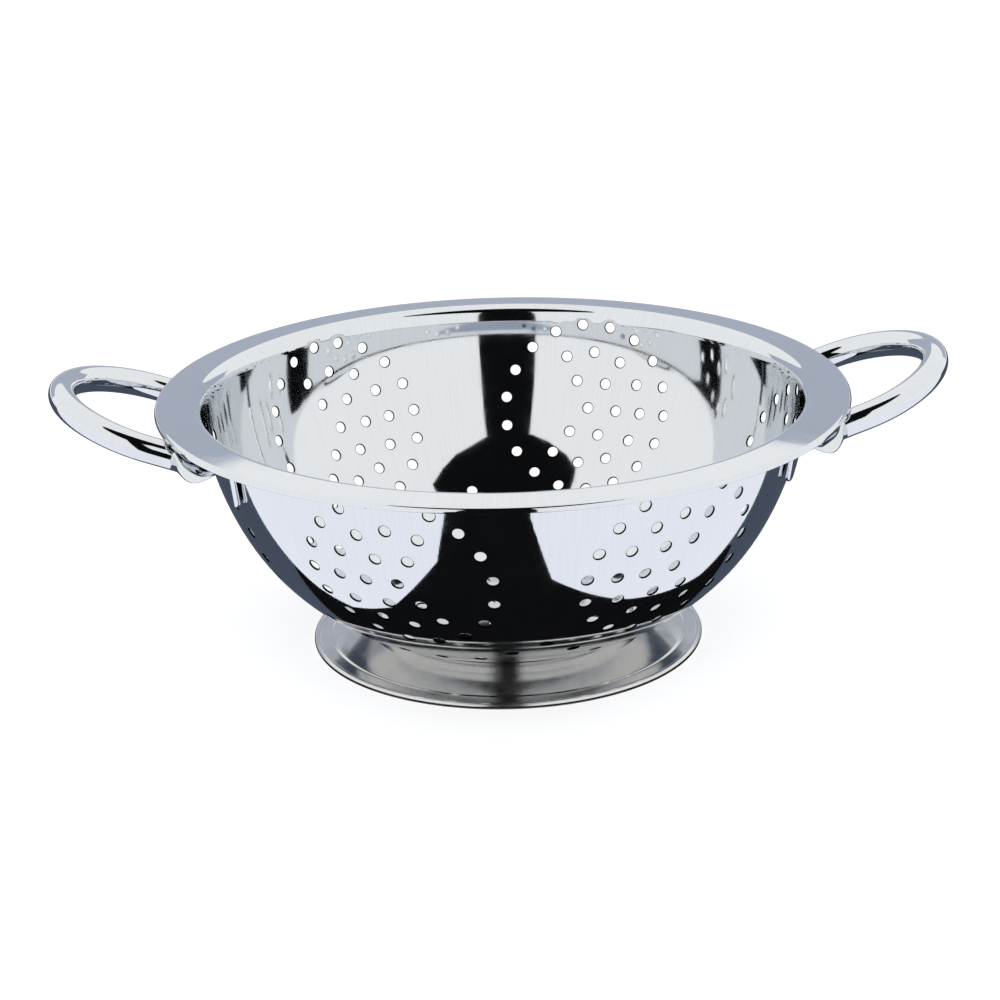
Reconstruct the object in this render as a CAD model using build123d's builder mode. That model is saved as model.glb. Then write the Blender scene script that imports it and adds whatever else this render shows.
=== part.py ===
from build123d import *
import os
from math import asin, cos, degrees, radians, sin, sqrt, tan

os.makedirs("parts", exist_ok=True)

# A stainless colander: a deep pressed bowl with a flat turned-down rim, a
# spun foot ring welded under its floor, and two tube handles whose flattened
# ends are spot-welded to the wall just below the rim.
# Lengths are in millimetres and turns in degrees. The origin is the middle of
# the foot on the table, +Z is up and +X points along the right handle.

# Bowl sheet, rim and floor
rim_radius = 130.0
bowl_height = 98.8
bowl_sheet = 0.7
flange_width = 15.7
flange_fall = 3.0
lip_drop = 1.1
lip_bend = 0.8
shoulder_rise = 6.0
shoulder_bend = 4.0
wall_lean = 7.0
knee_out_share = 0.785
knee_up_share = 0.495
arc_shares = (0.0, 0.5, 1.0)
floor_radius = 48.2
floor_bend = 15.0

# Drain holes: six round clusters on the wall, one on the floor, and a wavy
# ring of single holes between the wall clusters and the floor
hole_radius = 2.1
inner_ring = 12.3
middle_ring = 23.1
outer_ring = 34.1
ring_phase = 2.0
cluster_turns = (0.0, 66.8, 126.6, 186.2, 245.1, 301.4)
cluster_down_share = 0.775
cluster_cut = 14.0
wave_count = 6
wave_start = 36.0
wave_turn_shares = (0.0, 0.14, 0.295, 0.5)
wave_up_shares = (0.612, 0.481, 0.351, 0.329)
cut_over = 1.5

# Foot ring
foot_radius = 74.7
foot_height = 8.0
foot_sheet = 0.8
foot_bore = 40.0
foot_neck_radius = 49.5
foot_neck_width = 3.9
foot_neck_bend = 1.4
crease_bend = 1.0
crease_up_share = 0.7
step_radius = 67.3
step_up_share = 0.35
step_down_share = 0.29
step_width = 0.8
step_bend = 1.2
plate_end_share = 0.25
bead_radius = 1.4
bead_height = 2.6

# Handles
tube_diameter = 10.0
tube_wall = 1.0
handle_span = 74.2
handle_reach = 41.5
handle_rise = 19.5
handle_gap = 0.3
right_turn = 1.7
left_turn = 179.8
corner_share = 0.9
apex_half_turn = 62.7
leg_inset = 3.0
tang_turn = 26.0
tang_width = 14.0
tang_length = 14.8
tang_thickness = 2.4
tang_taper = 14.0
tang_tip_bend = 3.0
tang_gap = 0.3
tang_down_share = 0.255
bend_radius = 4.0
strap_rise = 0.0
neck_pull = 6.0
neck_lap = 0.8
neck_step = 0.4
neck_shares = (0.0, 0.5, 1.0)
flat_shares = (0.0, 0.65, 1.0)
weld_radius = 2.0
weld_spread_share = 0.22

# Sizes that follow from the ones above
flange_height = bowl_height - bowl_sheet
flange_inner = rim_radius - bowl_sheet - flange_width
wall_top_radius = flange_inner - shoulder_rise * tan(radians(wall_lean))
wall_top_height = flange_height - shoulder_rise
knee_radius = floor_radius + knee_out_share * (wall_top_radius - floor_radius)
knee_height = foot_height + knee_up_share * (wall_top_height - foot_height)
lip_top = flange_height - flange_width * tan(radians(flange_fall))
lip_bottom = lip_top - lip_drop


def draw_wall():
    """Outside of the bowl's wall: two tangent arcs from the shoulder down to the floor."""
    lean = (-sin(radians(wall_lean)), -cos(radians(wall_lean)))
    upper = TangentArc((wall_top_radius, wall_top_height), (knee_radius, knee_height), tangent=lean)
    lower = TangentArc(upper @ 1, (floor_radius, foot_height), tangent=upper % 1)
    return upper, lower


def wall_plane(line, share, turn):
    """Plane on the wall at a share of a wall line, facing outward, its Y up the wall."""
    along = line % share
    outward = Vector(-along.Z, 0, along.X)
    return Plane(
        origin=(line @ share).rotate(Axis.Z, turn),
        x_dir=Vector(0, 1, 0).rotate(Axis.Z, turn),
        z_dir=outward.rotate(Axis.Z, turn),
    )


def hole_cluster(left_out):
    """A middle hole and three rings; left_out gives the holes missing from each ring."""
    Circle(hole_radius)
    rings = ((inner_ring, 6), (middle_ring, 12), (outer_ring, 18))
    for (radius, count), missing in zip(rings, left_out):
        step = 360 / count
        first = ring_phase + step * ((missing + 1) // 2)
        with PolarLocations(radius, count - missing, first, step * (count - missing)):
            Circle(hole_radius)


with BuildLine(Plane.XZ) as wall:
    upper_wall, lower_wall = draw_wall()

# Bowl: one drawn sheet from the floor up over the shoulder to the rolled-down lip
cluster_planes = [wall_plane(upper_wall, cluster_down_share, turn) for turn in cluster_turns]
wave_planes = []
for wave in range(wave_count):
    middle = wave_start + wave * 360 / wave_count
    for turn_share, up_share in zip(wave_turn_shares, wave_up_shares):
        reach = turn_share * 360 / wave_count
        sides = (0,) if turn_share == 0 else (-1, 1)
        for side in sides:
            if turn_share == 0.5 and side == -1:
                continue
            wave_planes.append(wall_plane(lower_wall, 1 - up_share, middle + side * reach))

with BuildLine() as skin:
    FilletPolyline(
        (wall_top_radius, wall_top_height),
        (flange_inner, flange_height),
        (rim_radius - bowl_sheet, lip_top),
        (rim_radius - bowl_sheet, lip_bottom),
        radius=[shoulder_bend, lip_bend],
    )
    draw_wall()
    Line((floor_radius, foot_height), (0, foot_height))
    floor_corner = skin.vertices().sort_by_distance((floor_radius, foot_height))[0]
    fillet(floor_corner, radius=floor_bend)
    offset(amount=bowl_sheet, side=Side.LEFT)

# The section's arcs are drawn anew through three points, which gives the inside
# of the sheet the same kind of arc as the outside, so the holes go through both
with BuildPart() as bowl:
    with BuildSketch(Plane.XZ) as bowl_section:
        with BuildLine():
            for edge in skin.edges():
                if edge.geom_type == GeomType.CIRCLE:
                    ThreePointArc(*[edge @ share for share in arc_shares])
                else:
                    add(edge)
        make_face()
    revolve(axis=Axis.Z)
    with BuildSketch(*[plane.offset(cut_over) for plane in cluster_planes]):
        hole_cluster((1, 3, 0))
    extrude(amount=-cluster_cut, mode=Mode.SUBTRACT)
    with BuildSketch(*wave_planes):
        Circle(hole_radius)
    extrude(amount=cut_over, both=True, mode=Mode.SUBTRACT)
    with BuildSketch(Plane.XY.offset(foot_height)):
        hole_cluster((0, 0, 0))
    extrude(amount=cut_over, both=True, mode=Mode.SUBTRACT)

bowl.part.label = "bowl"
export_step(bowl.part, "parts/bowl.step")

# Foot ring: a flange flat under the floor, a short neck, a shallow skirt with
# a pressed step, and a rolled bead that is flat where it stands
bead_place = foot_radius - bead_radius
bead_middle = bead_height - bead_radius
crease_radius = foot_neck_radius + foot_neck_width

with BuildPart() as foot_ring:
    with BuildSketch(Plane.XZ) as foot_section:
        with BuildLine() as foot_skin:
            FilletPolyline(
                (foot_bore, foot_height),
                (foot_neck_radius, foot_height),
                (crease_radius, crease_up_share * foot_height),
                (step_radius, step_up_share * foot_height),
                (step_radius + step_width, step_down_share * foot_height),
                (bead_place - bead_radius / 2, plate_end_share * foot_height),
                radius=[foot_neck_bend, crease_bend, step_bend, step_bend],
            )
            offset(amount=foot_sheet, side=Side.RIGHT)
        make_face()
        with Locations((bead_place, bead_middle)):
            Circle(bead_radius)
        with Locations((bead_place, 0)):
            Rectangle(4 * bead_radius, 4 * bead_radius, align=(Align.CENTER, Align.MAX), mode=Mode.SUBTRACT)
    revolve(axis=Axis.Z)

foot_ring.part.label = "foot_ring"
export_step(foot_ring.part, "parts/foot_ring.step")

# Handles: a tube loop that rises outward from under the lip. Each leg is
# flattened as it turns down the wall and ends in a tang with a pressed channel.
tube_radius = tube_diameter / 2
half_span = handle_span / 2
lip_crossing = sqrt(rim_radius**2 - half_span**2)
crossing_height = lip_bottom - handle_gap - tube_radius / cos(radians(handle_rise))
corner_radius = corner_share * half_span
apex_radius = corner_radius + (half_span - corner_radius) / sin(radians(apex_half_turn))
leg_straight = handle_reach - apex_radius + (half_span - corner_radius) / tan(radians(apex_half_turn))
handle_plane = Plane(
    origin=(lip_crossing, 0, crossing_height),
    x_dir=(cos(radians(handle_rise)), 0, sin(radians(handle_rise))),
    z_dir=(-sin(radians(handle_rise)), 0, cos(radians(handle_rise))),
)
tang_plane = wall_plane(upper_wall, tang_down_share, tang_turn).offset(tang_gap)
tang_top = tang_plane.from_local_coords((0, tang_length / 2, tang_thickness / 2))

with BuildPart() as tube_loop:
    with BuildLine(handle_plane) as loop:
        leg = Line((-leg_inset, half_span), (leg_straight, half_span))
        corner = JernArc(leg @ 1, leg % 1, corner_radius, apex_half_turn - 90)
        apex = JernArc(corner @ 1, corner % 1, apex_radius, -2 * apex_half_turn)
        far_corner = JernArc(apex @ 1, apex % 1, corner_radius, apex_half_turn - 90)
        Line(far_corner @ 1, (-leg_inset, -half_span))
    with BuildSketch(Plane(origin=leg @ 0, x_dir=(0, 1, 0), z_dir=leg % 0)):
        Circle(tube_radius)
        Circle(tube_radius - tube_wall, mode=Mode.SUBTRACT)
    sweep(path=loop.wires()[0])

meridian_plane = Plane(origin=tang_top, x_dir=tang_plane.z_dir, z_dir=-tang_plane.x_dir)
strap_turn = strap_rise + degrees(asin(tang_plane.z_dir.Z)) - 90

with BuildLine(meridian_plane) as strap_bend:
    bend = JernArc((0, 0), (0, 1), bend_radius, strap_turn)

with BuildLine() as leg_line:
    neck = Bezier(
        leg @ 0 + leg % 0 * neck_lap,
        leg @ 0 - leg % 0 * neck_pull,
        bend @ 1 + bend % 1 * neck_pull,
        bend @ 1 - bend % 1 * neck_lap,
    )


def neck_plane(share):
    """Plane across the leg's neck at a share of its length, its X along the flattened width."""
    across = Vector(0, 1, 0) * (1 - share) + tang_plane.x_dir * share
    return Plane(origin=neck @ share, x_dir=across, z_dir=-(neck % share))


def neck_size(flat_share):
    """Half width and half depth of the neck, from the round tube at 0 to the flat strap at 1."""
    start = tube_radius - neck_step
    half_width = start + flat_share * (tang_width / 2 - neck_step - start)
    half_depth = start + flat_share * (tang_thickness / 2 - neck_step - start)
    return half_width, half_depth


with BuildPart() as leg_end:
    for share, flat_share in zip(neck_shares, flat_shares):
        with BuildSketch(neck_plane(share)):
            Ellipse(*neck_size(flat_share))
    loft()
    with BuildSketch(Plane(origin=bend @ 0, x_dir=tang_plane.x_dir, z_dir=bend % 0)):
        Rectangle(tang_width, tang_thickness)
    sweep(path=bend)
    with BuildSketch(tang_plane) as tongue:
        Trapezoid(tang_width, tang_length, 90 - tang_taper, rotation=180)
        fillet(tongue.vertices().group_by(Axis.Y)[0], radius=tang_tip_bend)
    extrude(amount=tang_thickness)
    with BuildSketch(tang_plane):
        with Locations((0, weld_spread_share * tang_length), (0, -weld_spread_share * tang_length)):
            Circle(weld_radius)
    extrude(amount=-tang_gap)

with BuildPart() as handle:
    add(tube_loop.part)
    add(leg_end.part)
    mirror(leg_end.part, about=Plane.XZ)

with BuildPart() as right_handle:
    add(handle.part, rotation=(0, 0, right_turn))

right_handle.part.label = "right_handle"
export_step(right_handle.part, "parts/right_handle.step")

with BuildPart() as left_handle:
    add(handle.part, rotation=(0, 0, left_turn))

left_handle.part.label = "left_handle"
export_step(left_handle.part, "parts/left_handle.step")
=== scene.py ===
"""Looks of a polished stainless steel colander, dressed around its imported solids.

Every length is in metres and every turn in degrees unless a name says
otherwise. The origin is the middle of the foot on the table, +Z is up and +X
points along the right handle, as in the solids.
"""

from __future__ import annotations

import logging
import math
from dataclasses import dataclass, field
from enum import Enum

import bpy
import numpy as np
from mathutils import Matrix, Vector
from mathutils.geometry import delaunay_2d_cdt

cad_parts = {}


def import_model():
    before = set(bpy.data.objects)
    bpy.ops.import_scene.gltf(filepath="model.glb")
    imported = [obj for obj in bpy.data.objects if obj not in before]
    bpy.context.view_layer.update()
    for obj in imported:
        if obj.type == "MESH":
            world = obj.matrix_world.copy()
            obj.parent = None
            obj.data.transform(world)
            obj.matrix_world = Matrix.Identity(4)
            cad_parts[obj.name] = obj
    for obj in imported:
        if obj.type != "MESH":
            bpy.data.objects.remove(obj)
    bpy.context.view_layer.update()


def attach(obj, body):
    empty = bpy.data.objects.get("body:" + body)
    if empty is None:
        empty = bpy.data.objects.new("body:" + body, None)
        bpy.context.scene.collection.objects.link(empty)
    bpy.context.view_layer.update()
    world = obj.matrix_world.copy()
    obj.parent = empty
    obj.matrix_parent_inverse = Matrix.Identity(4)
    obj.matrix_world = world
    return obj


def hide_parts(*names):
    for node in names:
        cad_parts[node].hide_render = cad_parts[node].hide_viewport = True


MM = 0.001
FULL_TURN = 2 * math.pi
# A run of a track or a vector below these has no length. Points that agree to
# this many digits of a millimetre are one vertex.
TINY = 1e-9
SHORTEST = 1e-15
MERGE_DIGITS = 5
LOG = logging.getLogger("colander")

Array = np.ndarray
Arrays = tuple[Array, Array]
Pair = tuple[float, float]
Floats = tuple[float, ...]
Corners = list[tuple[float, float, float]]


def hex_to_linear(code: str) -> tuple[float, float, float, float]:
    """Turn an sRGB hex colour into the linear RGBA that shaders take.

    Each channel c in 0..1 becomes c / 12.92 below 0.04045, and
    ((c + 0.055) / 1.055) to the power 2.4 above it.

    Args:
        code: colour such as "#c8ccd0".

    Returns:
        Linear red, green, blue and an alpha of one.
    """
    channels = np.array([int(code[i : i + 2], 16) for i in (1, 3, 5)]) / 255
    low = channels / 12.92
    high = ((channels + 0.055) / 1.055) ** 2.4
    return (*np.where(channels <= 0.04045, low, high).tolist(), 1.0)


def add_node(
    tree: bpy.types.NodeTree, kind: str, settings: dict | None = None, links: dict | None = None
) -> bpy.types.NodeOutputs:
    """Add a shader node with its settings and the links into it.

    Args:
        tree: node tree that gets the node.
        kind: Blender's name for the node without "ShaderNode", such as "TexNoise".
        settings: attribute names, or input numbers and names, with their values.
        links: input numbers and names with the output sockets that feed them.

    Returns:
        The new node's output sockets.
    """
    node = tree.nodes.new(f"ShaderNode{kind}")
    for key, value in (settings or {}).items():
        if isinstance(key, int) or key in node.inputs:
            node.inputs[key].default_value = value
        else:
            setattr(node, key, value)
    for key, socket in (links or {}).items():
        tree.links.new(socket, node.inputs[key])
    return node.outputs


def add_object(name: str, data: bpy.types.ID) -> bpy.types.Object:
    """Add an object with its mesh or camera data to the scene."""
    thing = bpy.data.objects.new(name, data)
    bpy.context.scene.collection.objects.link(thing)
    return thing


def add_sheet(name: str, corners: Corners, material: bpy.types.Material) -> bpy.types.Object:
    """Add a flat sheet with one face and its material to the scene."""
    mesh = bpy.data.meshes.new(name)
    mesh.from_pydata(corners, [], [range(len(corners))])
    mesh.materials.append(material)
    return add_object(name, mesh)


def polar(distance: float | Array, turn: Array) -> Array:
    """Flat points at distances from the middle and turns in radians."""
    return np.stack([distance * np.cos(turn), distance * np.sin(turn)], axis=-1)


def unit(vectors: Array) -> Array:
    """Vectors of the last axis brought to length one. One without a length stays zero."""
    lengths = np.linalg.norm(vectors, axis=-1, keepdims=True)
    return vectors / np.maximum(lengths, SHORTEST)


@dataclass(frozen=True)
class Track:
    """A flat line of straight runs and arcs that join without a corner.

    At distance u into a run of bend k (one over its radius, 0 for a straight
    run) the heading is h + k u. The point moves by u (cos h, sin h) on a
    straight run, and by (sin(h + k u) - sin h, cos h - cos(h + k u)) / k on
    an arc.
    """

    start: Pair
    heading: float
    lengths: Array
    bends: Array

    def stations(self) -> Array:
        """Distances along the track at which its runs begin and end."""
        return np.concatenate([[0.0], np.cumsum(self.lengths)])

    def follow(self, distance: Array) -> Arrays:
        """Points and left-hand normals at distances along the track.

        Args:
            distance: array of distances from the start.

        Returns:
            Points and unit normals, each with a last axis of two.
        """
        marks = self.stations()
        headings = self.heading + np.concatenate([[0.0], np.cumsum(self.lengths * self.bends)])
        steps = self._step(headings[:-1], self.bends, self.lengths)
        corners = np.array(self.start) + np.concatenate([[[0.0, 0.0]], np.cumsum(steps, axis=0)])
        run = np.clip(np.searchsorted(marks, distance, side="right") - 1, 0, len(self.lengths) - 1)
        into = distance - marks[run]
        points = corners[run] + self._step(headings[run], self.bends[run], into)
        heading = headings[run] + self.bends[run] * into
        return points, np.stack([-np.sin(heading), np.cos(heading)], axis=-1)

    @staticmethod
    def _step(heading: Array, bend: Array, into: Array) -> Array:
        """Move of a point that goes into a run, by the formulas above."""
        curved = np.abs(bend) > 0
        safe = np.where(curved, bend, 1.0)
        end = heading + bend * into
        across = np.where(curved, (np.sin(end) - np.sin(heading)) / safe, into * np.cos(heading))
        along = np.where(curved, (np.cos(heading) - np.cos(end)) / safe, into * np.sin(heading))
        return np.stack([across, along], axis=-1)


def filleted_track(corners: list[Pair], radii: list[float]) -> Track:
    """Track along a line of corner points whose inner corners are rounded.

    A corner that turns by t is cut back by r tan(t / 2) on both its sides and
    gets an arc of length r t.

    Args:
        corners: points of the line.
        radii: radius of each inner corner.

    Returns:
        The rounded track.
    """
    points = np.array(corners)
    edges = np.diff(points, axis=0)
    spans = np.hypot(edges[:, 0], edges[:, 1])
    headings = np.unwrap(np.arctan2(edges[:, 1], edges[:, 0]))
    turns = np.diff(headings)
    cuts = np.array(radii) * np.tan(np.abs(turns) / 2)
    straights = spans - np.concatenate([[0.0], cuts]) - np.concatenate([cuts, [0.0]])
    lengths = np.zeros(2 * len(spans) - 1)
    bends = np.zeros_like(lengths)
    lengths[0::2] = straights
    lengths[1::2] = np.array(radii) * np.abs(turns)
    bends[1::2] = np.sign(turns) / np.array(radii)
    return Track(tuple(points[0]), float(headings[0]), lengths, bends)


def spaced(track: Track, first: float, straight_step: float, arc_turn: float) -> Array:
    """Distances from a first one to a track's end, close together on its arcs.

    Args:
        track: the line.
        first: distance to start at.
        straight_step: widest gap between two distances.
        arc_turn: widest turn between two distances.

    Returns:
        Rising distances.
    """
    marks = track.stations()
    parts = []
    for begin, end, bend in zip(marks[:-1], marks[1:], track.bends):
        low = max(begin, first)
        if end - low > TINY:
            gap = min(straight_step, math.radians(arc_turn) / abs(bend)) if bend else straight_step
            parts.append(np.linspace(low, end, max(2, math.ceil((end - low) / gap) + 1))[:-1])
    return np.concatenate(parts + [marks[-1:]])


@dataclass
class Skin:
    """Points, normals and triangles of a mesh that is still being put together."""

    points: list[Array] = field(default_factory=list)
    normals: list[Array] = field(default_factory=list)
    triangles: list[Array] = field(default_factory=list)
    count: int = 0

    def add_points(self, points: Array, normals: Array) -> int:
        """Add points with their normals and give the number of the first one."""
        self.points.append(points.reshape(-1, 3))
        self.normals.append(normals.reshape(-1, 3))
        first = self.count
        self.count += len(self.points[-1])
        return first

    def add_quads(self, a: Array, b: Array, c: Array, d: Array) -> None:
        """Add the quads a b c d, each as two triangles."""
        self.triangles.append(np.stack([a, b, c], axis=-1).reshape(-1, 3))
        self.triangles.append(np.stack([a, c, d], axis=-1).reshape(-1, 3))

    def add_bands(self, near: Array, far: Array) -> None:
        """Add closed bands of quads between rings of points, a ring along the last axis."""
        self.add_quads(near, np.roll(near, -1, axis=-1), np.roll(far, -1, axis=-1), far)

    def join(self, name: str) -> bpy.types.Object:
        """Make the smooth mesh object.

        Points in one place become one vertex, which closes seams and poles,
        but every face corner keeps the normal of its own point, which keeps
        a crease sharp. Triangles that this shrinks to a line are left out.

        Args:
            name: name of the object and its mesh.

        Returns:
            The new object, linked to the scene.
        """
        points = np.concatenate(self.points)
        triangles = np.concatenate(self.triangles)
        normals = np.concatenate(self.normals)
        _, kept, merged = np.unique(
            np.round(points / MM, MERGE_DIGITS), axis=0, return_index=True, return_inverse=True
        )
        faces = merged.ravel()[triangles]
        whole = np.all(faces != np.roll(faces, 1, axis=1), axis=1)
        faces, corners = faces[whole], normals[triangles[whole]].reshape(-1, 3)
        mesh = bpy.data.meshes.new(name)
        mesh.vertices.add(len(kept))
        mesh.vertices.foreach_set("co", points[kept].astype(np.float32).ravel())
        mesh.loops.add(faces.size)
        mesh.loops.foreach_set("vertex_index", faces.astype(np.int32).ravel())
        mesh.polygons.add(len(faces))
        mesh.polygons.foreach_set("loop_start", np.arange(0, faces.size, 3, dtype=np.int32))
        mesh.update(calc_edges=True)
        mesh.polygons.foreach_set("use_smooth", np.ones(len(faces), dtype=bool))
        mesh.normals_split_custom_set(corners.tolist())
        return add_object(name, mesh)


def spin(flat: Array, turn: float | Array) -> Array:
    """Carry flat points or normals (r, z) round the Z axis to (r cos t, r sin t, z)."""
    radius, height = flat[..., 0], flat[..., 1]
    height = np.broadcast_to(height, np.broadcast(radius, turn).shape)
    return np.stack([radius * np.cos(turn), radius * np.sin(turn), height], axis=-1)


def spun_grid(skin: Skin, flat: Array, normals: Array, around: int, closed: bool = False) -> Array:
    """Spin a flat line into rings of points and skin the bands between them.

    Args:
        skin: mesh that gets the points and faces.
        flat: (radius, height) pairs along the line.
        normals: flat normals of the line.
        around: how many points a ring has.
        closed: whether the last ring joins the first one.

    Returns:
        Point numbers, one row per pair of the line.
    """
    turn = np.arange(around) * FULL_TURN / around
    first = skin.add_points(spin(flat[:, None, :], turn), spin(normals[:, None, :], turn))
    number = first + np.arange(len(flat) * around).reshape(len(flat), around)
    skin.add_bands(number[:-1], number[1:])
    if closed:
        skin.add_bands(number[-1], number[0])
    return number


class Polish(Enum):
    """How far the steel of a piece was polished: its roughness."""

    MIRROR = 0.045
    SATIN = 0.16


@dataclass(frozen=True)
class StainlessSteel:
    """Polished 18/8 stainless sheet, pressed or spun and then buffed.

    To the eye it is a clear, slightly cool mirror, with a faint wave left by
    the press tool, dull smears where it was wiped, and hairlines of the
    buffing wheel. Real hairlines lie about 0.1 mm apart. They are drawn
    0.8 mm apart so that they show. Sizes are in millimetres.
    """

    name: str
    polish: Polish
    colour: str = "#e3e6e9"
    line_colour: str = "#dee1e4"
    smear_size: float = 9.0
    smear_noise: Pair = (0.35, 0.7)
    smear_dulling: Pair = (0.75, 1.5)
    wave_size: float = 34.0
    wave_height: float = 0.05
    line_spacing: float = 0.8
    line_length: float = 26.0
    line_height: float = 0.0009
    line_radius: float = 110.0
    line_noise: Pair = (0.4, 0.75)

    def make(self) -> bpy.types.Material:
        """Build the node material."""
        material = bpy.data.materials.new(self.name)
        material.use_nodes = True
        tree = material.node_tree
        shader = tree.nodes["Principled BSDF"]
        shader.inputs["Metallic"].default_value = 1.0
        place = add_node(tree, "TexCoord")["Object"]
        smear_detail = {"Scale": 1 / (self.smear_size * MM), "Detail": 4.0, "Roughness": 0.6}
        smear = add_node(tree, "TexNoise", smear_detail, {"Vector": place})
        low, high = self.smear_noise
        clearest, dullest = (share * self.polish.value for share in self.smear_dulling)
        limits = {"From Min": low, "From Max": high, "To Min": clearest, "To Max": dullest}
        rough = add_node(tree, "MapRange", limits, {"Value": smear["Fac"]})
        tree.links.new(rough["Result"], shader.inputs["Roughness"])
        wave_detail = {"Scale": 1 / (self.wave_size * MM), "Detail": 1.0}
        wave = add_node(tree, "TexNoise", wave_detail, {"Vector": place})
        waved = add_node(tree, "Bump", {"Distance": self.wave_height * MM}, {"Height": wave["Fac"]})
        hairlines = self._hairlines(tree, place)
        bumps = {"Height": hairlines, "Normal": waved["Normal"]}
        lined = add_node(tree, "Bump", {"Distance": self.line_height * MM}, bumps)
        tree.links.new(lined["Normal"], shader.inputs["Normal"])
        colours = {6: hex_to_linear(self.colour), 7: hex_to_linear(self.line_colour)}
        tint = add_node(tree, "Mix", {"data_type": "RGBA", **colours}, {0: hairlines})
        tree.links.new(tint[2], shader.inputs["Base Color"])
        return material

    def _hairlines(
        self, tree: bpy.types.NodeTree, place: bpy.types.NodeSocket
    ) -> bpy.types.NodeSocket:
        """Level, 0 to 1, of lines up the piece: a noise over the arc round Z and the height."""
        split = add_node(tree, "SeparateXYZ", {}, {0: place})
        turn = add_node(tree, "Math", {"operation": "ARCTAN2"}, {0: split["Y"], 1: split["X"]})
        lines_per_turn = {"operation": "MULTIPLY", 1: self.line_radius / self.line_spacing}
        across = add_node(tree, "Math", lines_per_turn, {0: turn[0]})
        lines_per_metre = {"operation": "MULTIPLY", 1: 1 / (self.line_length * MM)}
        up = add_node(tree, "Math", lines_per_metre, {0: split["Z"]})
        spot = add_node(tree, "CombineXYZ", {}, {"X": across[0], "Y": up[0]})
        noise = add_node(tree, "TexNoise", {"Scale": 1.0, "Detail": 3.0}, {"Vector": spot[0]})
        low, high = self.line_noise
        limits = {"From Min": low, "From Max": high}
        return add_node(tree, "MapRange", limits, {"Value": noise["Fac"]})["Result"]


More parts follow.
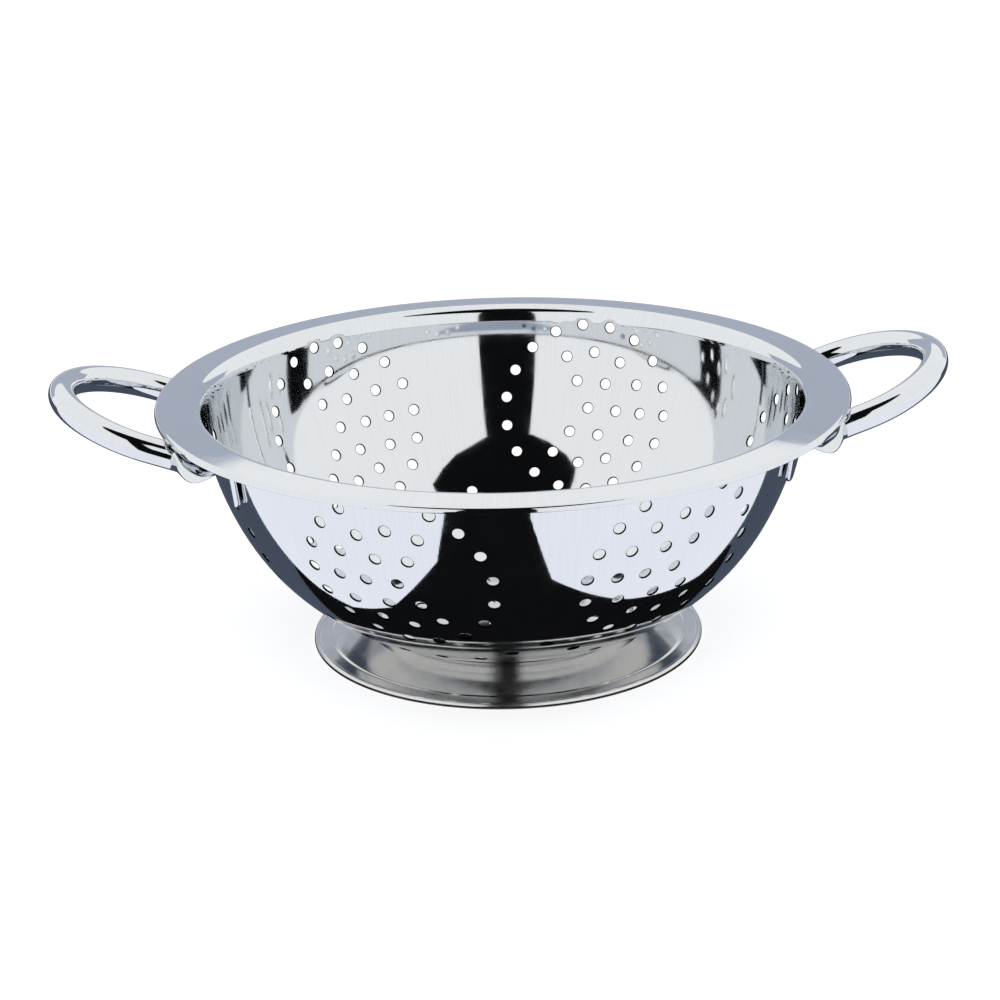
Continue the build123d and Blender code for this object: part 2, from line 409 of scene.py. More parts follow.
@dataclass
class Bowl:
    """The drawn bowl: floor, wall, shoulder, flat rim and turned-down lip, with punched holes."""

    rim_radius: float = 130.0 * MM
    height: float = 98.8 * MM
    sheet: float = 0.7 * MM
    flange_width: float = 15.7 * MM
    flange_fall: float = 3.0
    lip_drop: float = 1.1 * MM
    lip_bend: float = 0.8 * MM
    shoulder_rise: float = 6.0 * MM
    shoulder_bend: float = 4.0 * MM
    wall_lean: float = 7.0
    knee_out_share: float = 0.785
    knee_up_share: float = 0.495
    floor_radius: float = 48.2 * MM
    floor_bend: float = 15.0 * MM
    floor_height: float = 8.0 * MM
    hole_radius: float = 2.1 * MM
    roll: float = 0.34 * MM
    ring_radii: Floats = (0.0, 12.3 * MM, 23.1 * MM, 34.1 * MM)
    ring_counts: tuple[int, ...] = (1, 6, 12, 18)
    ring_phase: float = 2.0
    cluster_turns: Floats = (0.0, 66.8, 126.6, 186.2, 245.1, 301.4)
    cluster_down_share: float = 0.775
    wave_count: int = 6
    wave_start: float = 36.0
    wave_turn_shares: Floats = (0.0, 0.14, -0.14, 0.295, -0.295, 0.5)
    wave_up_shares: Floats = (0.612, 0.481, 0.481, 0.351, 0.351, 0.329)
    around: int = 360
    hole_sides: int = 24
    mesh_step: float = 3.6 * MM
    hole_halo: float = 0.9 * MM
    hole_clearance: float = 2.0 * MM
    edge_lift: float = 0.8 * MM
    edge_clearance: float = 0.5 * MM
    roll_depth_share: float = 0.3
    roll_turns: Floats = (45.0, 90.0)
    missing_holes: tuple[int, ...] = (0, 1, 3, 0)
    walk_steps: int = 6
    least_filling: int = 6
    mesh_tolerance: float = 1e-6
    rim_step: float = 2.0 * MM
    rim_turn: float = 7.0
    lip_points: int = 7
    finish: StainlessSteel = StainlessSteel("buffed_stainless_bowl", Polish.MIRROR)

    def __post_init__(self) -> None:
        """Work out the track of the sheet's outside, from the floor's middle to the lip.

        Each run has a length and a radius, which is infinite where it is straight.
        """
        lean = math.radians(self.wall_lean)
        fall = math.radians(self.flange_fall)
        flange_height = self.height - self.sheet
        flange_inner = self.rim_radius - self.sheet - self.flange_width
        top = np.array([
            flange_inner - self.shoulder_rise * math.tan(lean),
            flange_height - self.shoulder_rise,
        ])
        knee = np.array([
            self.floor_radius + self.knee_out_share * (top[0] - self.floor_radius),
            self.floor_height + self.knee_up_share * (top[1] - self.floor_height),
        ])
        foot = np.array([self.floor_radius, self.floor_height])
        into_top = np.array([-math.cos(lean), math.sin(lean)])
        upper_radius, upper_centre = self._arc(top, knee, into_top)
        inward = (upper_centre - knee) / upper_radius
        lower_radius, lower_centre = self._arc(knee, foot, inward)
        bend_height = self.floor_height + self.floor_bend
        reach = lower_radius - self.floor_bend
        flat = lower_centre[0] + math.sqrt(reach**2 - (bend_height - lower_centre[1]) ** 2)
        floor_turn = math.atan2(flat - lower_centre[0], lower_centre[1] - bend_height)
        knee_turn = math.atan2(-inward[0], inward[1])
        wall_turn = math.pi / 2 - lean
        shoulder_turn = wall_turn + fall
        lip_turn = math.pi / 2 - fall
        shoulder_cut = self.shoulder_bend * math.tan(shoulder_turn / 2)
        lip_cut = self.lip_bend * math.tan(lip_turn / 2)
        runs = [
            (flat, math.inf),
            (self.floor_bend * floor_turn, self.floor_bend),
            (lower_radius * (knee_turn - floor_turn), lower_radius),
            (upper_radius * (wall_turn - knee_turn), upper_radius),
            (self.shoulder_rise / math.cos(lean) - shoulder_cut, math.inf),
            (self.shoulder_bend * shoulder_turn, -self.shoulder_bend),
            (self.flange_width / math.cos(fall) - shoulder_cut - lip_cut, math.inf),
            (self.lip_bend * lip_turn, -self.lip_bend),
            (self.lip_drop - lip_cut, math.inf),
        ]
        lengths, radii = np.array(runs).T
        self.track = Track((0.0, self.floor_height), 0.0, lengths, 1 / radii)
        self.knee = knee
        self.knee_distance, self.wall_top_distance, shoulder_distance = self.track.stations()[3:6]
        self.edge = shoulder_distance + self.edge_lift
        self.lower_length = lower_radius * (
            knee_turn - math.atan2(foot[0] - lower_centre[0], lower_centre[1] - foot[1])
        )
        self.upper_length = upper_radius * (wall_turn - knee_turn)
        self.upper_circle = (upper_radius, upper_centre)
        self.lower_circle = (lower_radius, lower_centre)

    @staticmethod
    def _arc(start: Array, end: Array, inward: Array) -> tuple[float, Array]:
        """Radius and centre of the circle through two points, with its inward normal at the first.

        The radius is the chord squared over twice the chord's part along the normal.
        """
        chord = end - start
        radius = float(chord @ chord / (2 * (chord @ inward)))
        return radius, start + radius * inward

    def surface(self, flat: Array, depth: float = 0.0) -> Arrays:
        """Points of the sheet, and normals into the bowl, from points of the flattened bowl.

        The flattened bowl is a disc: a point at distance s from its middle
        lies s along the track, at the same turn, and this deep in the sheet.
        """
        distance = np.hypot(flat[..., 0], flat[..., 1])
        turn = np.arctan2(flat[..., 1], flat[..., 0])
        points, normals = self.track.follow(distance)
        return spin(points + normals * depth, turn), spin(normals, turn)

    def pattern(self, missing: tuple[int, ...]) -> Array:
        """Middles of holes in flat rings, some of them missing about each ring's first one."""
        rings = []
        for radius, count, gone in zip(self.ring_radii, self.ring_counts, missing):
            steps = (gone + 1) // 2 + np.arange(count - gone)
            rings.append(polar(radius, math.radians(self.ring_phase) + FULL_TURN / count * steps))
        return np.concatenate(rings)

    def cluster_holes(self) -> Array:
        """Middles of the holes of the six wall clusters on the disc.

        A cluster is a flat pattern of rings in the plane that touches the
        wall at its middle, punched straight along that plane's axis. Each
        hole is walked along the axis by its distance to the wall's circle,
        over the axis's share of that direction, until it is on the wall.
        """
        along = self.wall_top_distance - self.cluster_down_share * self.upper_length
        (middle,), (inward,) = self.track.follow(np.array([along]))
        across, up = self.pattern(self.missing_holes).T
        up_wall = np.array([inward[1], -inward[0]])
        radius, height = middle[:, None] + up_wall[:, None] * up
        places = np.stack([radius, across, height], axis=-1)
        axis = np.array([inward[0], 0.0, inward[1]])
        for _ in range(self.walk_steps):
            radius = np.hypot(places[:, 0], places[:, 1])
            gap, away = self._gap(np.stack([radius, places[:, 2]], axis=-1))
            share = away[:, 0] * (places[:, 0] / radius) * axis[0] + away[:, 1] * axis[2]
            places -= (gap / share)[:, None] * axis
        radius = np.hypot(places[:, 0], places[:, 1])
        distance = self._distance(np.stack([radius, places[:, 2]], axis=-1))
        own_turn = np.arctan2(places[:, 1], places[:, 0])
        turns = own_turn + np.radians(self.cluster_turns)[:, None]
        return polar(distance, turns).reshape(-1, 2)

    def _circle_of(self, flat: Array) -> Arrays:
        """Radius and centre of the wall's circle that each flat point belongs to."""
        on_upper = flat[:, 1] > self.knee[1]
        radius = np.where(on_upper, self.upper_circle[0], self.lower_circle[0])
        return radius, np.where(on_upper[:, None], self.upper_circle[1], self.lower_circle[1])

    def _gap(self, flat: Array) -> Arrays:
        """Signed distance past the wall's circle, and the direction away from its centre."""
        radius, centre = self._circle_of(flat)
        arm = flat - centre
        span = np.hypot(arm[:, 0], arm[:, 1])
        return span - radius, arm / span[:, None]

    def _distance(self, flat: Array) -> Array:
        """Distance along the track of flat points on the wall's two circles."""
        radius, centre = self._circle_of(flat)
        arm, knee_arm = flat - centre, self.knee - centre
        turn = np.arctan2(arm[:, 0], -arm[:, 1]) - np.arctan2(knee_arm[:, 0], -knee_arm[:, 1])
        return self.knee_distance + radius * turn

    def wave_holes(self) -> Array:
        """Middles of the single holes between the wall clusters and the floor."""
        distance = self.knee_distance - self.lower_length * (1 - np.array(self.wave_up_shares))
        pitch = FULL_TURN / self.wave_count
        middle = math.radians(self.wave_start) + pitch * np.arange(self.wave_count)
        turns = middle[:, None] + pitch * np.array(self.wave_turn_shares)
        return polar(distance, turns).reshape(-1, 2)

    def hole_loops(self, middles: Array, radius: float) -> Array:
        """Loops round hole middles on the disc, a row per hole, that are round on the wall.

        The disc is stretched round its middle by the distance along the
        track over the real radius, so a loop is stretched as much there.
        """
        distance = np.hypot(middles[:, 0], middles[:, 1])
        real, _ = self.track.follow(distance)
        stretch = np.where(distance > MM, distance / np.maximum(real[:, 0], MM), 1.0)
        outward = middles / np.maximum(distance, MM)[:, None]
        outward[distance <= MM] = (1.0, 0.0)
        sideways = np.stack([-outward[:, 1], outward[:, 0]], axis=-1) * stretch[:, None]
        loop = polar(radius, np.arange(self.hole_sides) * FULL_TURN / self.hole_sides)
        arms = loop[:, :1] * outward[:, None, :] + loop[:, 1:] * sideways[:, None, :]
        return middles[:, None, :] + arms

    def _filling(self, middles: Array) -> Array:
        """Evenly spread points on rings of the disc, clear of every hole."""
        rings = []
        distances = np.arange(self.mesh_step / 2, self.edge - self.mesh_step / 2, self.mesh_step)
        for number, distance in enumerate(distances):
            count = max(self.least_filling, round(FULL_TURN * distance / self.mesh_step))
            turns = (np.arange(count) + (number % 2) / 2) * FULL_TURN / count
            rings.append(polar(distance, turns))
        points = np.concatenate(rings)
        across, along = (points[:, None] - middles).transpose(2, 0, 1)
        nearest = np.min(np.hypot(across, along), axis=1)
        return points[nearest > self.hole_radius + self.roll + self.hole_clearance]

    def build(self) -> bpy.types.Object:
        """Build the sheet's object as one closed skin.

        The holed part is the disc cut up by a Delaunay mesh whose edges keep
        every hole's loop, then bent onto both sides of the sheet. Each hole
        gets a wall of rings: at turn a of its rolled edge a ring is wider
        than the hole by w (1 - sin a) and lies d (1 - cos a) deep. Shoulder,
        rim and lip are the track's offset lines spun round.
        """
        floor_holes = self.pattern((0,) * len(self.ring_counts))
        middles = np.concatenate([self.cluster_holes(), self.wave_holes(), floor_holes])
        loops = self.hole_loops(middles, self.hole_radius + self.roll)
        halos = self.hole_loops(middles, self.hole_radius + self.roll + self.hole_halo)
        halos = halos.reshape(-1, 2)
        halos = halos[np.hypot(halos[:, 0], halos[:, 1]) < self.edge - self.edge_clearance]
        turns = np.arange(self.around) * FULL_TURN / self.around
        border = polar(self.edge, turns)
        disc = np.concatenate([loops.reshape(-1, 2), border, halos, self._filling(middles)])
        hole_points = np.arange(loops[..., 0].size).reshape(loops.shape[:2])
        border_points = hole_points.size + np.arange(self.around)
        rings = (hole_points, border_points)
        edges = [np.stack([ring, np.roll(ring, -1, axis=-1)], axis=-1) for ring in rings]
        edges = np.concatenate([pairs.reshape(-1, 2) for pairs in edges]).tolist()
        scaled = [Vector(pair) for pair in (disc / MM).tolist()]
        verts, _, faces, *_ = delaunay_2d_cdt(scaled, edges, [], 1, self.mesh_tolerance)
        if len(verts) != len(disc):
            raise ValueError("the flattened bowl's mesh gained or lost points")
        cells = np.array(faces)
        owner = np.full(len(disc), -1)
        owner[: hole_points.size] = np.repeat(np.arange(len(middles)), self.hole_sides)
        own = owner[cells]
        in_hole = (own[:, 0] >= 0) & np.all(own == own[:, :1], axis=1)
        cells = cells[~in_hole]
        one, two, three = disc[cells.T]
        backward = np.cross(two - one, three - one) < 0
        cells[backward] = cells[backward][:, ::-1]

        skin = Skin()
        outside, into = self.surface(disc)
        inside, _ = self.surface(disc, self.sheet)
        outer = skin.add_points(outside, -into)
        inner = skin.add_points(inside, into)
        skin.triangles.append(outer + cells[:, ::-1])
        skin.triangles.append(inner + cells)
        self._hole_walls(skin, middles, outer + hole_points, inner + hole_points)
        self._rim(skin, outer + border_points, inner + border_points)
        return skin.join("bowl_sheet")

    def _hole_walls(self, skin: Skin, middles: Array, outer: Array, inner: Array) -> None:
        """Add the rings of every hole's wall between its two loops."""
        depth = self.roll_depth_share * self.sheet
        rings = [
            (1 - math.sin(a), depth * (1 - math.cos(a)), -math.cos(a), math.sin(a))
            for a in np.radians(self.roll_turns)
        ]
        back = [(wide, self.sheet - deep, -face, side) for wide, deep, face, side in rings[::-1]]
        previous = outer
        for wide, deep, face, side in rings + back:
            loop = self.hole_loops(middles, self.hole_radius + self.roll * wide)
            place, into = self.surface(loop, deep)
            hub, _ = self.surface(middles, deep)
            inwards = unit(hub[:, None, :] - place)
            first = skin.add_points(place, face * into + side * inwards)
            number = first + np.arange(outer.size).reshape(outer.shape)
            skin.add_bands(previous, number)
            previous = number
        skin.add_bands(previous, inner)

    def _rim(self, skin: Skin, outer: Array, inner: Array) -> None:
        """Add the solid top of the wall, the shoulder, the rim and the lip with its round edge."""
        distance = spaced(self.track, self.edge, self.rim_step, self.rim_turn)[1:]
        line, normal = self.track.follow(distance)
        turns = np.linspace(0, math.pi, self.lip_points)[1:-1, None]
        along = np.array([normal[-1][1], -normal[-1][0]])
        middle = line[-1] + normal[-1] * self.sheet / 2
        around_edge = -np.cos(turns) * normal[-1] + np.sin(turns) * along
        end = middle + around_edge * self.sheet / 2
        flat = np.concatenate([line, end, (line + normal * self.sheet)[::-1]])
        faces = np.concatenate([-normal, around_edge, normal[::-1]])
        number = spun_grid(skin, flat, faces, self.around)
        skin.add_bands(outer, number[0])
        skin.add_bands(number[-1], inner)

    def dress(self) -> bpy.types.Object:
        """Build the bowl, finish it and put it in place of its solid."""
        piece = self.build()
        piece.data.materials.append(self.finish.make())
        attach(piece, "root")
        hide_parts("bowl")
        return piece


@dataclass
class Foot:
    """The spun foot ring: flange under the floor, neck, stepped skirt and rolled bead."""

    radius: float = 74.7 * MM
    height: float = 8.0 * MM
    sheet: float = 0.8 * MM
    bore: float = 40.0 * MM
    neck_radius: float = 49.5 * MM
    neck_width: float = 3.9 * MM
    neck_bend: float = 1.4 * MM
    crease_bend: float = 1.0 * MM
    crease_up_share: float = 0.7
    step_radius: float = 67.3 * MM
    step_up_share: float = 0.35
    step_down_share: float = 0.29
    step_width: float = 0.8 * MM
    step_bend: float = 1.2 * MM
    plate_end_share: float = 0.25
    bead_radius: float = 1.4 * MM
    bead_height: float = 2.6 * MM
    around: int = 360
    line_step: float = 2.0 * MM
    line_turn: float = 8.0
    over_points: int = 40
    under_points: int = 12
    edge_points: int = 9
    # The foot's colour is the steel's own with a painted reflection in it: warmer and darker than
    # the bowl's, for the bowl's underside that the foot mirrors.
    finish: StainlessSteel = StainlessSteel("buffed_stainless_foot_painted_reflection", Polish.SATIN, colour="#dbd8d3")

    def build(self) -> bpy.types.Object:
        """Build the ring's object as one closed spun skin.

        Its section runs out over the top of the sheet to the bead, once
        round the bead, which is cut flat where it stands, back under the
        sheet and round the edge of the bore.
        """
        bead = np.array([self.radius - self.bead_radius, self.bead_height - self.bead_radius])
        track = filleted_track(
            [
                (self.bore, self.height),
                (self.neck_radius, self.height),
                (self.neck_radius + self.neck_width, self.crease_up_share * self.height),
                (self.step_radius, self.step_up_share * self.height),
                (self.step_radius + self.step_width, self.step_down_share * self.height),
                (bead[0], self.plate_end_share * self.height),
            ],
            [self.neck_bend, self.crease_bend, self.step_bend, self.step_bend],
        )
        line, normal = track.follow(spaced(track, 0.0, self.line_step, self.line_turn))
        top = self._until_bead(line, bead)
        under = self._until_bead(line - normal * self.sheet, bead)
        first_turn, last_turn = (math.atan2(*(side[-1] - bead)[::-1]) for side in (top, under))
        stand = math.asin(-bead[1] / self.bead_radius)
        over = np.linspace(first_turn, stand, self.over_points)
        back = np.linspace(math.pi - stand, last_turn % FULL_TURN, self.under_points)
        stand_half = self.bead_radius * math.cos(stand)
        stand_ends = np.array([[bead[0] + stand_half, 0.0], [bead[0] - stand_half, 0.0]])
        down = np.array([[0.0, -1.0], [0.0, -1.0]])
        edge_turn = np.linspace(1.5 * math.pi, 0.5 * math.pi, self.edge_points)
        edge_middle = line[0] - normal[0] * self.sheet / 2
        runs = [
            (top, normal[: len(top)]),
            self._arc(bead, self.bead_radius, over),
            (stand_ends, down),
            self._arc(bead, self.bead_radius, back),
            (under[::-1], -normal[: len(under)][::-1]),
            self._arc(edge_middle, self.sheet / 2, edge_turn, side=-1.0),
        ]
        flat = np.concatenate([points for points, _ in runs])
        faces = np.concatenate([normals for _, normals in runs])
        skin = Skin()
        spun_grid(skin, flat[::-1], faces[::-1], self.around, True)
        return skin.join("foot_ring_sheet")

    def _until_bead(self, line: Array, bead: Array) -> Array:
        """Part of a line outside the bead, ended where it meets the bead's circle.

        On the step d from a point at a from the bead's middle, the share t
        that meets the circle of radius r solves |a + t d| = r.
        """
        span = np.hypot(*(line - bead).T)
        inside = int(np.argmax((span < self.bead_radius) & (line[:, 0] > self.step_radius)))
        step, arm = line[inside] - line[inside - 1], line[inside - 1] - bead
        square, slope = step @ step, arm @ step
        root = math.sqrt(slope**2 - square * (arm @ arm - self.bead_radius**2))
        meeting = line[inside - 1] - step * (slope + root) / square
        return np.concatenate([line[:inside], [meeting]])

    @staticmethod
    def _arc(middle: Array, radius: float, turns: Array, side: float = 1.0) -> Arrays:
        """Points and outward normals of an arc, mirrored left to right where side is -1."""
        arm = np.stack([side * np.cos(turns), np.sin(turns)], axis=-1)
        return middle + radius * arm, arm

    def dress(self) -> bpy.types.Object:
        """Build the foot, finish it and put it in place of its solid."""
        piece = self.build()
        piece.data.materials.append(self.finish.make())
        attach(piece, "root")
        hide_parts("foot_ring")
        return piece


class Side(Enum):
    """A side of the bowl, with the turn of its handle about the bowl's axis."""

    RIGHT = 1.7
    LEFT = 179.8


@dataclass
class Handle:
    """A tube loop whose two legs are flattened into tangs on the wall under the rim."""

    side: Side
    bowl: Bowl
    tube_radius: float = 5.0 * MM
    span: float = 74.2 * MM
    reach: float = 41.5 * MM
    rise: float = 19.5
    gap: float = 0.3 * MM
    corner_share: float = 0.9
    apex_half_turn: float = 62.7
    leg_inset: float = 3.0 * MM
    tang_turn: float = 26.0
    tang_width: float = 14.0 * MM
    tang_length: float = 14.8 * MM
    tang_thickness: float = 2.4 * MM
    tang_taper: float = 14.0
    tang_tip: float = 3.2 * MM
    tang_gap: float = 0.3 * MM
    tang_down_share: float = 0.255
    bend_radius: float = 4.0 * MM
    neck_pull: float = 6.0 * MM
    flat_squareness: float = 0.8
    around: int = 56
    tang_points: int = 26
    bend_points: int = 16
    neck_points: int = 25
    loop_step: float = 1.0 * MM
    loop_turn: float = 2.0
    finish: StainlessSteel = StainlessSteel("buffed_stainless_tube", Polish.MIRROR)

    def _tang_frame(self) -> tuple[Array, Array, Array, Array]:
        """Middle of the tang's back and its across, up and outward directions."""
        distance = self.bowl.wall_top_distance - self.tang_down_share * self.bowl.upper_length
        (spot,), (inward,) = self.bowl.track.follow(np.array([distance]))
        turn = math.radians(self.tang_turn)
        outward = spin(-inward, turn)
        across = np.array([-math.sin(turn), math.cos(turn), 0.0])
        middle = spin(spot, turn) + outward * self.tang_gap
        return middle, across, np.cross(outward, across), outward

    def _line(self) -> tuple[Array, Array, Array, Array, Array]:
        """Centre line of half a handle, from the tang's tip to the loop's far end.

        The tang is a straight line up the wall, then comes an arc of the
        strap's bend, a cubic Bezier curve for the neck and the loop's own
        straight run and arcs in its tilted plane.

        Returns:
            Centres, width directions, half widths, half depths and
            squareness along the line.
        """
        middle, across, up, outward = self._tang_frame()
        half = self.tang_thickness / 2
        tip = middle + outward * half - up * self.tang_length / 2
        rise = math.radians(self.rise)
        forward = np.array([math.cos(rise), 0.0, math.sin(rise)])
        sideways = np.array([0.0, 1.0, 0.0])
        lip_crossing = math.sqrt(self.bowl.rim_radius**2 - (self.span / 2) ** 2)
        last_point, _ = self.bowl.track.follow(self.bowl.track.stations()[-1:])
        crossing = float(last_point[0, 1]) - self.gap - self.tube_radius / math.cos(rise)
        origin = np.array([lip_crossing, 0.0, crossing])

        climb = self.tang_length * (1 - np.cos(np.linspace(0, math.pi / 2, self.tang_points)))
        tang = tip + climb[:, None] * up
        bend_turn = math.pi / 2 - math.asin(outward[2])
        turns = np.linspace(0, bend_turn, self.bend_points)[1:]
        hub = tang[-1] + outward * self.bend_radius
        arms = np.sin(turns)[:, None] * up - np.cos(turns)[:, None] * outward
        bend = hub + self.bend_radius * arms
        away = math.cos(bend_turn) * up + math.sin(bend_turn) * outward
        loop, loop_left = self._loop()
        tube = origin + loop[:, :1] * forward + loop[:, 1:] * sideways
        pulls = (bend[-1] + away * self.neck_pull, tube[0] - forward * self.neck_pull)
        ends = np.array([bend[-1], *pulls, tube[0]])
        t = np.linspace(0, 1, self.neck_points)[1:-1, None]
        weights = [(1 - t) ** 3, 3 * (1 - t) ** 2 * t, 3 * (1 - t) * t**2, t**3]
        neck = np.concatenate(weights, axis=1) @ ends

        rows = [len(tang), len(bend), len(neck), len(tube)]
        share = np.concatenate([np.zeros(rows[0] + rows[1]), t[:, 0], np.ones(rows[3])])
        flat = 1 - (3 * share**2 - 2 * share**3)
        wide = flat * self.tang_width / 2 + (1 - flat) * self.tube_radius
        deep = flat * half + (1 - flat) * self.tube_radius
        cap = np.sqrt(1 - (1 - np.minimum(climb, self.tang_tip) / self.tang_tip) ** 2)
        taper = (self.tang_length - climb) * math.tan(math.radians(self.tang_taper))
        wide[: rows[0]] = (wide[: rows[0]] - taper) * cap
        deep[: rows[0]] *= np.sqrt(1 - (1 - np.minimum(climb, half) / half) ** 2)
        direction = (1 - share)[:, None] * across + share[:, None] * sideways
        direction[-rows[3] :] = loop_left[:, :1] * forward + loop_left[:, 1:] * sideways
        centre = np.concatenate([tang, bend, neck, tube])
        return centre, direction, wide, deep, 2.0 + self.flat_squareness * flat

    def _loop(self) -> Arrays:
        """Points and left normals of half the loop in its own plane, from leg to apex."""
        half_span = self.span / 2
        corner = self.corner_share * half_span
        half_turn = math.radians(self.apex_half_turn)
        apex = corner + (half_span - corner) / math.sin(half_turn)
        straight = self.reach - apex + (half_span - corner) / math.tan(half_turn) + self.leg_inset
        corner_turn = math.pi / 2 - half_turn
        track = Track(
            (-self.leg_inset, half_span),
            0.0,
            np.array([straight, corner * corner_turn, apex * half_turn]),
            np.array([0.0, -1 / corner, -1 / apex]),
        )
        return track.follow(spaced(track, 0.0, self.loop_step, self.loop_turn))

    def build(self) -> bpy.types.Object:
        """Build the handle's object as one closed skin carried along its line.

        A section is a rounded box: at angle a it lies w |cos a|^(2/n) across
        and d |sin a|^(2/n) deep, with the signs of cos a and sin a, where n
        is 2 on the round tube and grows as the tube is flattened.
        """
        half = self._line()
        mirror = np.array([1.0, -1.0, 1.0])
        centre, across = (np.concatenate([rows, rows[-2::-1] * mirror]) for rows in half[:2])
        wide, deep, square = (np.concatenate([rows, rows[-2::-1]]) for rows in half[2:])
        ahead = unit(np.gradient(centre, axis=0))
        out = unit(np.cross(across, ahead))
        side = np.cross(ahead, out)
        angle = np.arange(self.around) * FULL_TURN / self.around
        cos, sin = np.cos(angle)[None, :], np.sin(angle)[None, :]
        power = 2 / square[:, None]
        x = wide[:, None] * np.sign(cos) * np.abs(cos) ** power
        y = deep[:, None] * np.sign(sin) * np.abs(sin) ** power
        points = x[..., None] * side[:, None, :] + y[..., None] * out[:, None, :]
        points += centre[:, None, :]
        along = np.gradient(points, axis=0)
        round_it = np.roll(points, -1, axis=1) - np.roll(points, 1, axis=1)
        normals = unit(np.cross(along, round_it))
        normals[0] = -ahead[0]
        normals[-1] = ahead[-1]
        turn = math.radians(self.side.value)
        cos, sin = math.cos(turn), math.sin(turn)
        about = np.array([[cos, sin, 0.0], [-sin, cos, 0.0], [0.0, 0.0, 1.0]])
        skin = Skin()
        first = skin.add_points(points @ about, normals @ about)
        number = first + np.arange(points[..., 0].size).reshape(points.shape[:2])
        following = np.roll(number, -1, axis=1)
        skin.add_quads(number[:-1], number[1:], following[1:], following[:-1])
        return skin.join(f"{self.side.name.lower()}_tube")

    def dress(self) -> bpy.types.Object:
        """Build the handle, finish it and put it in place of its solid."""
        node = f"{self.side.name.lower()}_handle"
        piece = self.build()
        piece.data.materials.append(self.finish.make())
        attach(piece, "root")
        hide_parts(node)
        return piece


@dataclass(frozen=True)
class View:
    """The photograph's camera, solved from the rim, the foot and the punched holes.

    It is a long lens that looks down from the front. Its place is in metres,
    its sensor in millimetres.
    """

    place: tuple[float, float, float] = (-57.83 * MM, -1002.93 * MM, 414.7 * MM)
    turn: float = 3.191
    pitch: float = 19.738
    roll: float = -1.4095
    focal_pixels: float = 2806.7
    frame_pixels: float = 1000.0
    sensor: float = 36.0

    def make(self) -> None:
        """Make the scene's camera."""
        data = bpy.data.cameras.new("camera")
        data.sensor_width = self.sensor
        data.lens = self.sensor * self.focal_pixels / self.frame_pixels
        yaw, pitch, roll = (math.radians(a) for a in (self.turn, self.pitch, self.roll))
        right = Vector((math.cos(yaw), -math.sin(yaw), 0))
        level = math.cos(pitch)
        ahead = Vector((math.sin(yaw) * level, math.cos(yaw) * level, -math.sin(pitch)))
        up = right.cross(ahead)
        right_rolled = math.cos(roll) * right + math.sin(roll) * up
        up_rolled = -math.sin(roll) * right + math.cos(roll) * up
        camera = add_object("camera", data)
        rotation = Matrix((right_rolled, up_rolled, -ahead)).transposed()
        camera.matrix_world = Matrix.Translation(self.place) @ rotation.to_4x4()
        bpy.context.scene.camera = camera


class Tone(Enum):
    """What a studio card is made of: its sRGB colour."""

    BLACK_VELVET = "#0e0f11"
    WHITE_FOAM = "#f1f3fb"
    DARK_GREY = "#4a5261"
    PALE_GREY = "#b3bac8"


@dataclass(frozen=True)
class Card:
    """A flat studio card that is seen in reflections alone and casts no shadow."""

    name: str
    tone: Tone
    corners: Corners
    level: float = 1.0

    def make(self) -> None:
        """Make the card as a sheet that glows evenly in its colour."""
        material = bpy.data.materials.new(self.name)
        material.use_nodes = True
        tree = material.node_tree
        tree.nodes.clear()
        look = {"Color": hex_to_linear(self.tone.value), "Strength": self.level}
        glow = add_node(tree, "Emission", look)
        add_node(tree, "OutputMaterial", {}, {"Surface": glow[0]})
        card = add_sheet(self.name, self.corners, material)
        card.visible_camera = False
        card.visible_diffuse = False
        card.visible_shadow = False


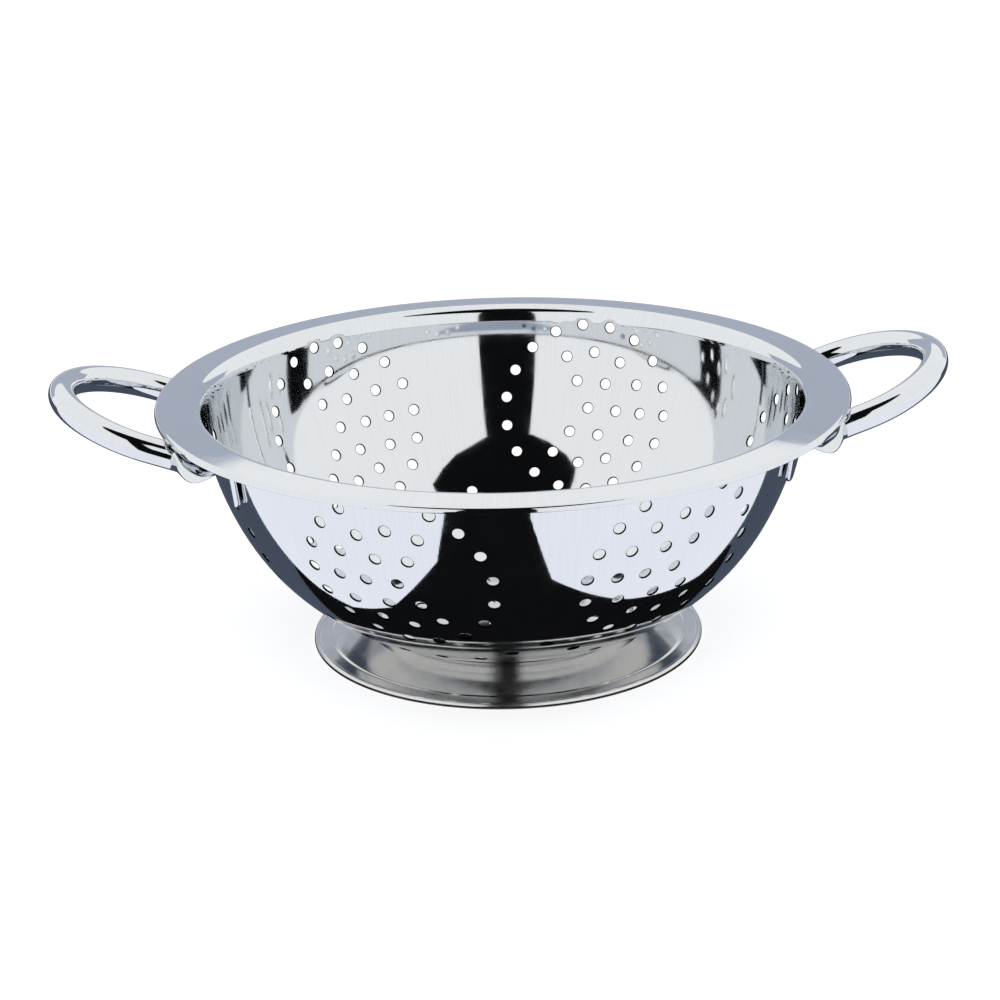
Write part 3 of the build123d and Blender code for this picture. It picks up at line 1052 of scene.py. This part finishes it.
@dataclass(frozen=True)
class Studio:
    """A plain pale floor in a white surround, with cards for the metal to reflect.

    Every card is a light or dark shape of the photograph's reflections,
    traced back to where it comes from. Sizes of cards are in metres.
    """

    floor_half: float = 3.0
    floor_colour: str = "#f4f4f4"
    floor_glow: float = 0.6
    surround_soft: float = 0.6
    side: float = 1.4
    front: float = -1.3
    ceiling: float = 1.4
    front_flag: Pair = (-0.41, 0.137)
    front_flag_height: float = 1.42
    back_flag_half: float = 1.5
    back_flag_heights: Pair = (0.12, 0.69)
    shade_lift: float = 0.5 * MM
    flag_lift: float = 1.0 * MM
    panel_lift: float = 1.5 * MM
    panel_level: float = 1.1
    floor_flag: Floats = (-0.14, -0.02, -0.43, -1.3, 0.14, -1.3, 0.13, -0.02)
    left_panel: Floats = (
        (-0.1, -0.037, -0.08, -0.052, -0.066, -0.078, -0.06, -0.14, -0.075, -0.19)
        + (-0.41, -1.3, -1.4, -1.3, -1.4, 0.81)
    )
    right_panel: Floats = (
        (1.4, 0.68, 1.4, -1.3, 0.137, -1.3)
        + (0.015, -0.22, 0.022, -0.13, 0.06, -0.085, 0.1, -0.045)
    )
    ceiling_flag: Floats = (
        (-0.44, -1.31, 0.15, -1.31, 0.23, -1.22, 0.475, -0.92, 0.565, -0.65, 0.61, -0.377)
        + (0.51, -0.2, -0.54, -0.2, -0.634, -0.344, -0.72, -0.5, -0.72, -0.76, -0.61, -1.09)
    )

    def _surround(self) -> None:
        """Make the world: white where the camera and the metal see it, softer as a lamp."""
        world = bpy.data.worlds.new("surround")
        bpy.context.scene.world = world
        world.use_nodes = True
        tree = world.node_tree
        tree.nodes.clear()
        path = add_node(tree, "LightPath")
        either = {"operation": "MAXIMUM"}
        seen = add_node(tree, "Math", either, {0: path["Is Camera Ray"], 1: path["Is Glossy Ray"]})
        through = add_node(tree, "Math", either, {0: seen[0], 1: path["Is Transmission Ray"]})
        levels = {"To Min": self.surround_soft, "To Max": 1.0}
        strength = add_node(tree, "MapRange", levels, {"Value": through[0]})
        back = add_node(tree, "Background", {"Color": (1, 1, 1, 1)}, {"Strength": strength[0]})
        add_node(tree, "OutputWorld", {}, {"Surface": back[0]})

    def _floor(self) -> None:
        """Make the floor of seamless paper, matt pulp without a gloss.

        A little glow keeps it white, and its lit part leaves a soft shadow.
        """
        material = bpy.data.materials.new("floor_paper")
        material.use_nodes = True
        inputs = material.node_tree.nodes["Principled BSDF"].inputs
        inputs["Base Color"].default_value = hex_to_linear(self.floor_colour)
        inputs["Roughness"].default_value = 1.0
        inputs["Specular IOR Level"].default_value = 0.0
        inputs["Emission Color"].default_value = (1, 1, 1, 1)
        inputs["Emission Strength"].default_value = self.floor_glow
        half = self.floor_half
        corners = self._flat(0.0, (-half, -half, half, -half, half, half, -half, half))
        floor = add_sheet("floor", corners, material)

    def make(self) -> None:
        """Set up the surround, the floor, the camera and the cards."""
        bpy.context.scene.view_settings.view_transform = "Standard"
        self._surround()
        self._floor()
        View().make()
        for card in self.cards():
            card.make()

    def cards(self) -> list[Card]:
        """Cards in front, behind, overhead and on the floor, where a panel covers the shade."""
        side, half = self.side, self.back_flag_half
        shade = self._flat(self.shade_lift, (-side, -side, side, -side, side, side, -side, side))
        flag = self._flat(self.flag_lift, self.floor_flag)
        left = self._flat(self.panel_lift, self.left_panel)
        right = self._flat(self.panel_lift, self.right_panel)
        front = self._upright(self.front, self.front_flag, (0.0, self.front_flag_height))
        back = self._upright(side, (-half, half), self.back_flag_heights)
        return [
            Card("floor_shade", Tone.DARK_GREY, shade),
            Card("front_floor_flag", Tone.BLACK_VELVET, flag),
            Card("left_floor_panel", Tone.WHITE_FOAM, left, self.panel_level),
            Card("right_floor_panel", Tone.WHITE_FOAM, right, self.panel_level),
            Card("front_flag", Tone.BLACK_VELVET, front),
            Card("back_flag", Tone.PALE_GREY, back),
            Card("ceiling_flag", Tone.BLACK_VELVET, self._flat(self.ceiling, self.ceiling_flag)),
        ]

    @staticmethod
    def _flat(height: float, places: Floats) -> Corners:
        """Corners of a level card from the x and y of each corner in turn."""
        return [(x, y, height) for x, y in zip(places[::2], places[1::2])]

    @staticmethod
    def _upright(y: float, across: Pair, up: Pair) -> Corners:
        """Corners of an upright card that faces along Y."""
        (left, right), (low, high) = across, up
        return [(left, y, low), (right, y, low), (right, y, high), (left, y, high)]


def main() -> None:
    """Build and dress the colander in its studio."""
    logging.basicConfig(level=logging.INFO)
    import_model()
    Studio().make()
    bowl = Bowl()
    for part in (bowl, Foot(), Handle(Side.LEFT, bowl), Handle(Side.RIGHT, bowl)):
        piece = part.dress()
        LOG.info("%s: %d triangles", piece.name, len(piece.data.polygons))


if __name__ == "__main__":
    main()
